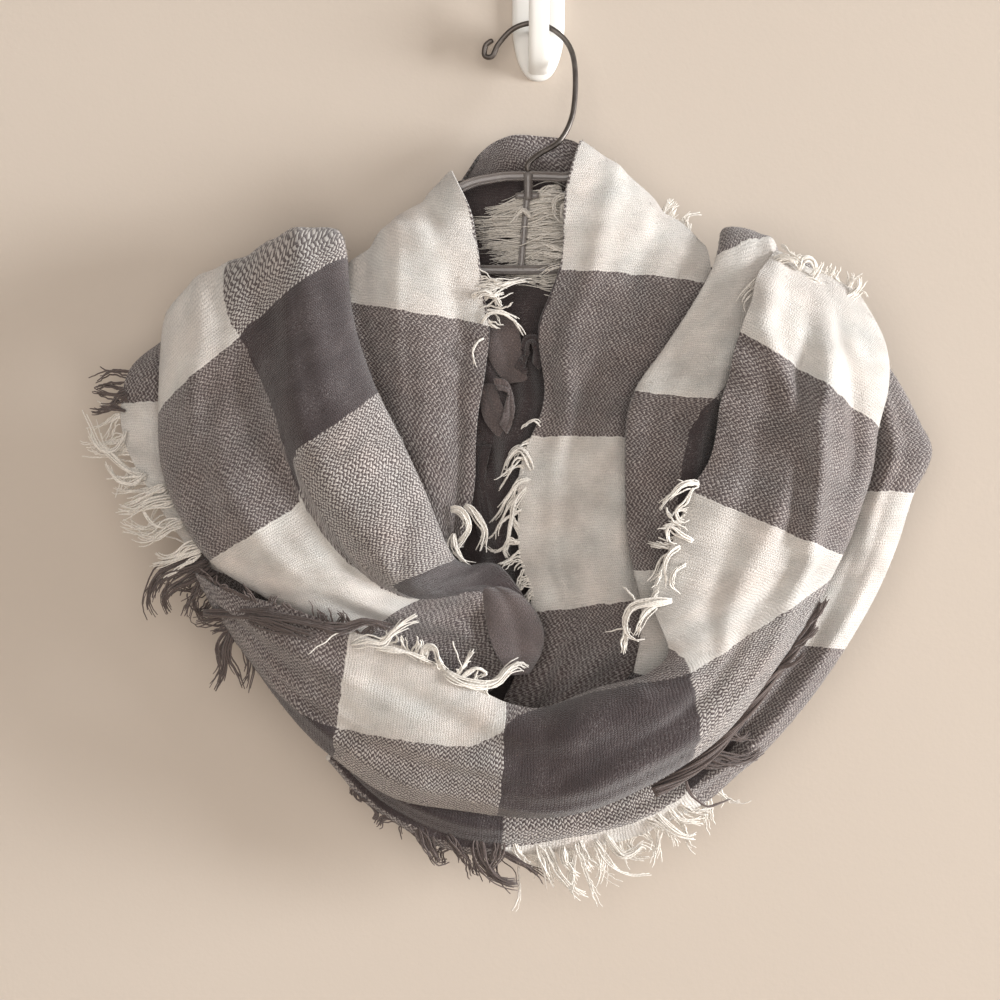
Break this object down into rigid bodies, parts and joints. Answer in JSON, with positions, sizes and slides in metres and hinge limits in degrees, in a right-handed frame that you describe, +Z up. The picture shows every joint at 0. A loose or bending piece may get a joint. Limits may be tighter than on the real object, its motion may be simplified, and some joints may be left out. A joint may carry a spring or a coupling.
{
  "type": "blanket infinity scarf on a wire hanger and wall hook",
  "caption": "Brushed, woven loop scarf in a large two-tone check with raw fringed edges, worn double and hung by a small clear hanger from a stick-on wall hook",
  "frame": {"origin": "centre of the wall hook's flat back face, where it is stuck to the wall", "axes": "X to the viewer's right, Y into the wall, Z up"},
  "size_m": [0.4557, 0.103, 0.5143],
  "materials": {
    "white_plastic": "smooth moulded plastic",
    "dark_wire": "dark plated wire",
    "clear_plastic": "smoky translucent plastic",
    "check_cloth": "brushed open weave in a white and charcoal check",
    "white_yarn": "loose off-white yarns",
    "dark_yarn": "loose charcoal yarns"
  },
  "bodies": {
    "root": {"wall_hook": "white_plastic", "hanger_wire": "dark_wire", "hanger_body": "clear_plastic", "inner_left": "check_cloth", "neck_back": "check_cloth", "inner_right": "check_cloth", "outer_left_front": "check_cloth", "outer_back": "check_cloth", "right_strip": "check_cloth", "outer_right_front": "check_cloth", "bottom_front": "check_cloth", "left_behind": "check_cloth", "right_behind": "check_cloth", "bottom_behind": "check_cloth", "middle_fold": "check_cloth", "bottom_back": "check_cloth", "rolled_edge": "dark_yarn", "fringe_left_top": "dark_yarn", "fringe_left": "white_yarn", "fringe_left_low": "dark_yarn", "fringe_front_dark": "dark_yarn", "fringe_front_white": "white_yarn", "fringe_right_low": "white_yarn", "fringe_right_top": "white_yarn", "fringe_inner_left": "white_yarn", "fringe_inner_right": "white_yarn", "fringe_neck": "white_yarn", "fringe_bottom_white": "white_yarn", "fringe_bottom_dark": "dark_yarn"}
  },
  "joints": []
}
